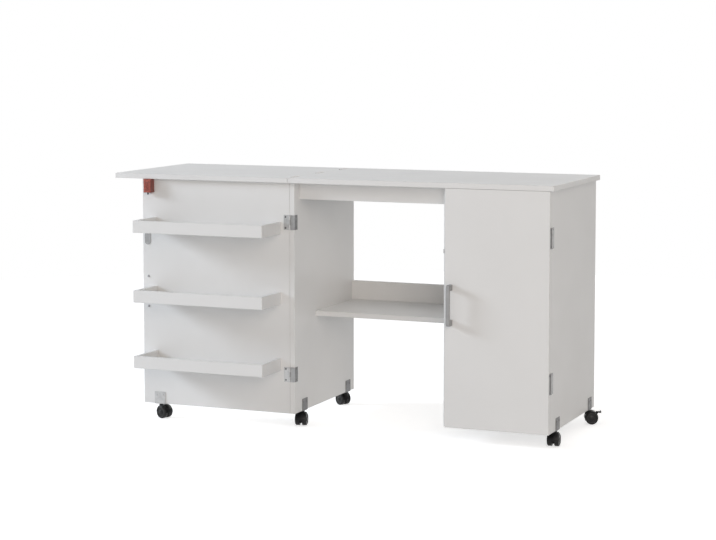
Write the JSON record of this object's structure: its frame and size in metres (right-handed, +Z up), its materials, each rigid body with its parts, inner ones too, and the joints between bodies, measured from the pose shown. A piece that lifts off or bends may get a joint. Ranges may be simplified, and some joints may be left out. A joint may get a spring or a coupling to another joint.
{
  "type": "folding sewing table",
  "caption": "White wheeled sewing and cutting table with a kneehole, a closed compartment, a gate door with trays and a fold-over leaf that rests on the opened door.",
  "frame": {"origin": "on the floor, under the middle of the table's bounding box in the opened state", "axes": "+X along the table from the folding leaf to the closed compartment, +Y from the front to the back, +Z up"},
  "size_m": [1.479, 0.616, 0.7843],
  "materials": {
    "white_board": "white melamine facing on chipboard, satin, banded edges",
    "white_hardboard": "white lacquered hardboard",
    "hinge_steel": "zinc-plated sheet steel, satin",
    "white_steel": "white lacquered steel",
    "bright_steel": "zinc-plated steel",
    "grey_handle_metal": "satin grey",
    "strike_steel": "nickel-plated sheet steel",
    "grey_bracket_steel": "zinc-plated sheet steel",
    "white_catch_plastic": "white moulded housing",
    "red_plastic": "red moulded housing",
    "black_bolt_plastic": "black moulded bolt",
    "black_hood_plastic": "black moulded nylon",
    "black_wheel_plastic": "black moulded nylon, worn tread"
  },
  "bodies": {
    "cabinet": {"tabletop_main": "white_board", "left_side_panel": "white_board", "centre_divider": "white_board", "right_side_panel": "white_board", "front_top_rail": "white_board", "rear_top_rail": "white_board", "kneehole_shelf": "white_board", "kneehole_back_rail": "white_board", "cabinet_bottom": "white_board", "cabinet_shelves": "white_board", "cabinet_back_panel": "white_hardboard", "shelf_pins": "bright_steel", "cabinet_screws": "bright_steel", "left_door_hinge_panel_leaves": "hinge_steel", "right_door_hinge_panel_leaves": "hinge_steel", "leaf_hinge_top_plates": "white_steel", "hinge_pins": "bright_steel", "magnetic_catches": "white_catch_plastic", "left_front_caster_bracket": "grey_bracket_steel", "left_rear_caster_bracket": "grey_bracket_steel", "right_front_caster_bracket": "grey_bracket_steel", "right_rear_caster_bracket": "grey_bracket_steel"},
    "left_door": {"left_door_panel": "white_board", "low_tray_front": "white_board", "low_tray_ends": "white_board", "low_tray_bottom": "white_board", "middle_tray_front": "white_board", "middle_tray_ends": "white_board", "middle_tray_bottom": "white_board", "top_tray_front": "white_board", "top_tray_ends": "white_board", "top_tray_bottom": "white_board", "left_door_hinge_door_leaves": "hinge_steel", "left_door_handle": "grey_handle_metal", "leaf_lock_housing": "red_plastic", "left_door_strike_plate": "strike_steel", "door_caster_bracket": "grey_bracket_steel", "left_door_screws": "bright_steel"},
    "right_door": {"right_door_panel": "white_board", "right_door_hinge_door_leaves": "hinge_steel", "right_door_handle": "grey_handle_metal", "right_door_strike_plate": "strike_steel", "right_door_screws": "bright_steel"},
    "leaf": {"tabletop_leaf": "white_board", "leaf_hinge_leaf_plates": "white_steel", "leaf_screws": "white_steel"},
    "lock_bolt": {"leaf_lock_bolt": "black_bolt_plastic"},
    "left_front_caster": {"left_front_caster_hood": "black_hood_plastic"},
    "left_front_wheels": {"left_front_caster_wheels": "black_wheel_plastic"},
    "left_rear_caster": {"left_rear_caster_hood": "black_hood_plastic"},
    "left_rear_wheels": {"left_rear_caster_wheels": "black_wheel_plastic"},
    "left_rear_brake": {"left_rear_caster_brake_lever": "black_hood_plastic"},
    "right_front_caster": {"right_front_caster_hood": "black_hood_plastic"},
    "right_front_wheels": {"right_front_caster_wheels": "black_wheel_plastic"},
    "right_rear_caster": {"right_rear_caster_hood": "black_hood_plastic"},
    "right_rear_wheels": {"right_rear_caster_wheels": "black_wheel_plastic"},
    "right_rear_brake": {"right_rear_caster_brake_lever": "black_hood_plastic"},
    "door_caster": {"door_caster_hood": "black_hood_plastic"},
    "door_wheels": {"door_caster_wheels": "black_wheel_plastic"}
  },
  "joints": [
    {"name": "left_door_swing", "type": "hinge", "parent": "cabinet", "child": "left_door", "pos_m": [-0.13746, -0.1735, 0.046], "axis": [0, 0, 1], "range_deg": [0, 180]},
    {"name": "right_door_swing", "type": "hinge", "parent": "cabinet", "child": "right_door", "pos_m": [0.70504, -0.1715, 0.046], "axis": [0, 0, 1], "range_deg": [0, 180]},
    {"name": "leaf_fold", "type": "hinge", "parent": "cabinet", "child": "leaf", "pos_m": [-0.13746, -0.171, 0.7823], "axis": [0, 1, 0], "range_deg": [0, 180]},
    {"name": "lock_bolt_slide", "type": "slide", "parent": "left_door", "child": "lock_bolt", "axis": [0, 0, 1], "range_m": [0, 0.006]},
    {"name": "left_front_caster_swivel", "type": "hinge", "parent": "cabinet", "child": "left_front_caster", "pos_m": [-0.12946, -0.096, 0.046], "axis": [0, 0, 1], "continuous": true},
    {"name": "left_front_wheel_roll", "type": "hinge", "parent": "left_front_caster", "child": "left_front_wheels", "pos_m": [-0.12655, -0.10969, 0.02], "axis": [0.9781, 0.2079, 0], "continuous": true},
    {"name": "left_rear_caster_swivel", "type": "hinge", "parent": "cabinet", "child": "left_rear_caster", "pos_m": [-0.12946, 0.253, 0.046], "axis": [0, 0, 1], "continuous": true},
    {"name": "left_rear_wheel_roll", "type": "hinge", "parent": "left_rear_caster", "child": "left_rear_wheels", "pos_m": [-0.14158, 0.26, 0.02], "axis": [-0.5, -0.866, 0], "continuous": true},
    {"name": "left_rear_brake_press", "type": "hinge", "parent": "left_rear_caster", "child": "left_rear_brake", "pos_m": [-0.15657, 0.26865, 0.0366], "axis": [-0.5, -0.866, 0], "range_deg": [0, 15]},
    {"name": "right_front_caster_swivel", "type": "hinge", "parent": "cabinet", "child": "right_front_caster", "pos_m": [0.69454, -0.096, 0.046], "axis": [0, 0, 1], "continuous": true},
    {"name": "right_front_wheel_roll", "type": "hinge", "parent": "right_front_caster", "child": "right_front_wheels", "pos_m": [0.69576, -0.10995, 0.02], "axis": [0.9962, 0.0872, 0], "continuous": true},
    {"name": "right_rear_caster_swivel", "type": "hinge", "parent": "cabinet", "child": "right_rear_caster", "pos_m": [0.69454, 0.253, 0.046], "axis": [0, 0, 1], "continuous": true},
    {"name": "right_rear_wheel_roll", "type": "hinge", "parent": "right_rear_caster", "child": "right_rear_wheels", "pos_m": [0.70752, 0.25824, 0.02], "axis": [-0.3746, 0.9272, 0], "continuous": true},
    {"name": "right_rear_brake_press", "type": "hinge", "parent": "right_rear_caster", "child": "right_rear_brake", "pos_m": [0.72356, 0.26472, 0.0366], "axis": [-0.3746, 0.9272, 0], "range_deg": [0, 15]},
    {"name": "door_caster_swivel", "type": "hinge", "parent": "left_door", "child": "door_caster", "pos_m": [-0.59346, -0.163, 0.046], "axis": [0, 0, 1], "continuous": true},
    {"name": "door_wheel_roll", "type": "hinge", "parent": "door_caster", "child": "door_wheels", "pos_m": [-0.58007, -0.16709, 0.02], "axis": [0.2924, 0.9563, 0], "continuous": true}
  ]
}
